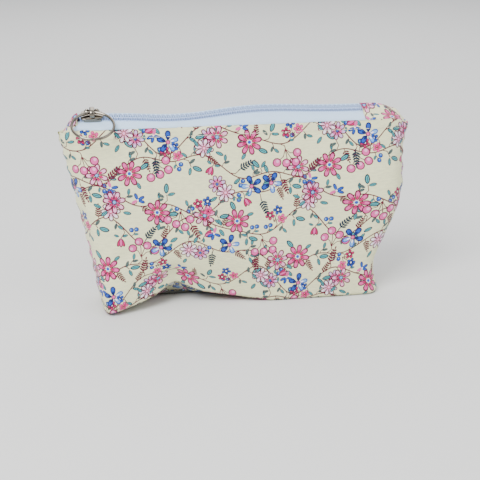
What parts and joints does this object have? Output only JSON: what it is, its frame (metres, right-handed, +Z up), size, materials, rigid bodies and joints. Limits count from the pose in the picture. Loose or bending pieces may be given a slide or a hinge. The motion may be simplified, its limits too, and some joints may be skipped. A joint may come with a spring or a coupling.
{
  "type": "zippered pouch",
  "caption": "Small printed cotton pouch with a boxed flat base, a white coil zip along the top and a round ring pull on its slider.",
  "frame": {"origin": "centre of the pouch's footprint, on the surface it stands on", "axes": "+Z up, the front faces -Y, the zip runs along X and closes toward -X"},
  "size_m": [0.19, 0.0394, 0.1073],
  "materials": {
    "printed_cotton": "plain-woven cotton with an all-over printed flower pattern",
    "interfacing": "non-woven",
    "lining_cotton": "plain-woven cotton",
    "zip_tape": "woven polyester",
    "zip_coil": "nylon monofilament",
    "thread": "spun polyester",
    "white_thread": "spun polyester",
    "nickel": "bright nickel plate"
  },
  "bodies": {
    "pouch": {"outer_front": "printed_cotton", "outer_back": "printed_cotton", "interfacing_front": "interfacing", "interfacing_back": "interfacing", "lining_front": "lining_cotton", "lining_back": "lining_cotton", "zip_tape_front": "zip_tape", "zip_tape_back": "zip_tape", "zip_coil_front": "zip_coil", "zip_coil_back": "zip_coil", "coil_stitching_front": "white_thread", "coil_stitching_back": "white_thread", "zip_end_tab_left": "printed_cotton", "zip_end_tab_right": "printed_cotton", "tab_stitching_left": "thread", "tab_stitching_right": "thread", "topstitch_front": "thread", "topstitch_back": "thread", "side_seam_left": "thread", "side_seam_right": "thread", "corner_seam_left": "thread", "corner_seam_right": "thread", "bottom_seam": "thread"},
    "slider": {"slider_body": "nickel", "slider_bridge": "nickel"},
    "ring": {"pull_ring": "nickel"}
  },
  "joints": [
    {"name": "slider_travel", "type": "slide", "parent": "pouch", "child": "slider", "axis": [1, 0, 0], "range_m": [0, 0.137]},
    {"name": "ring_swing", "type": "hinge", "parent": "slider", "child": "ring", "pos_m": [-0.076, 0.00023, 0.10448], "axis": [-1, 0, 0], "range_deg": [0, 195]}
  ]
}
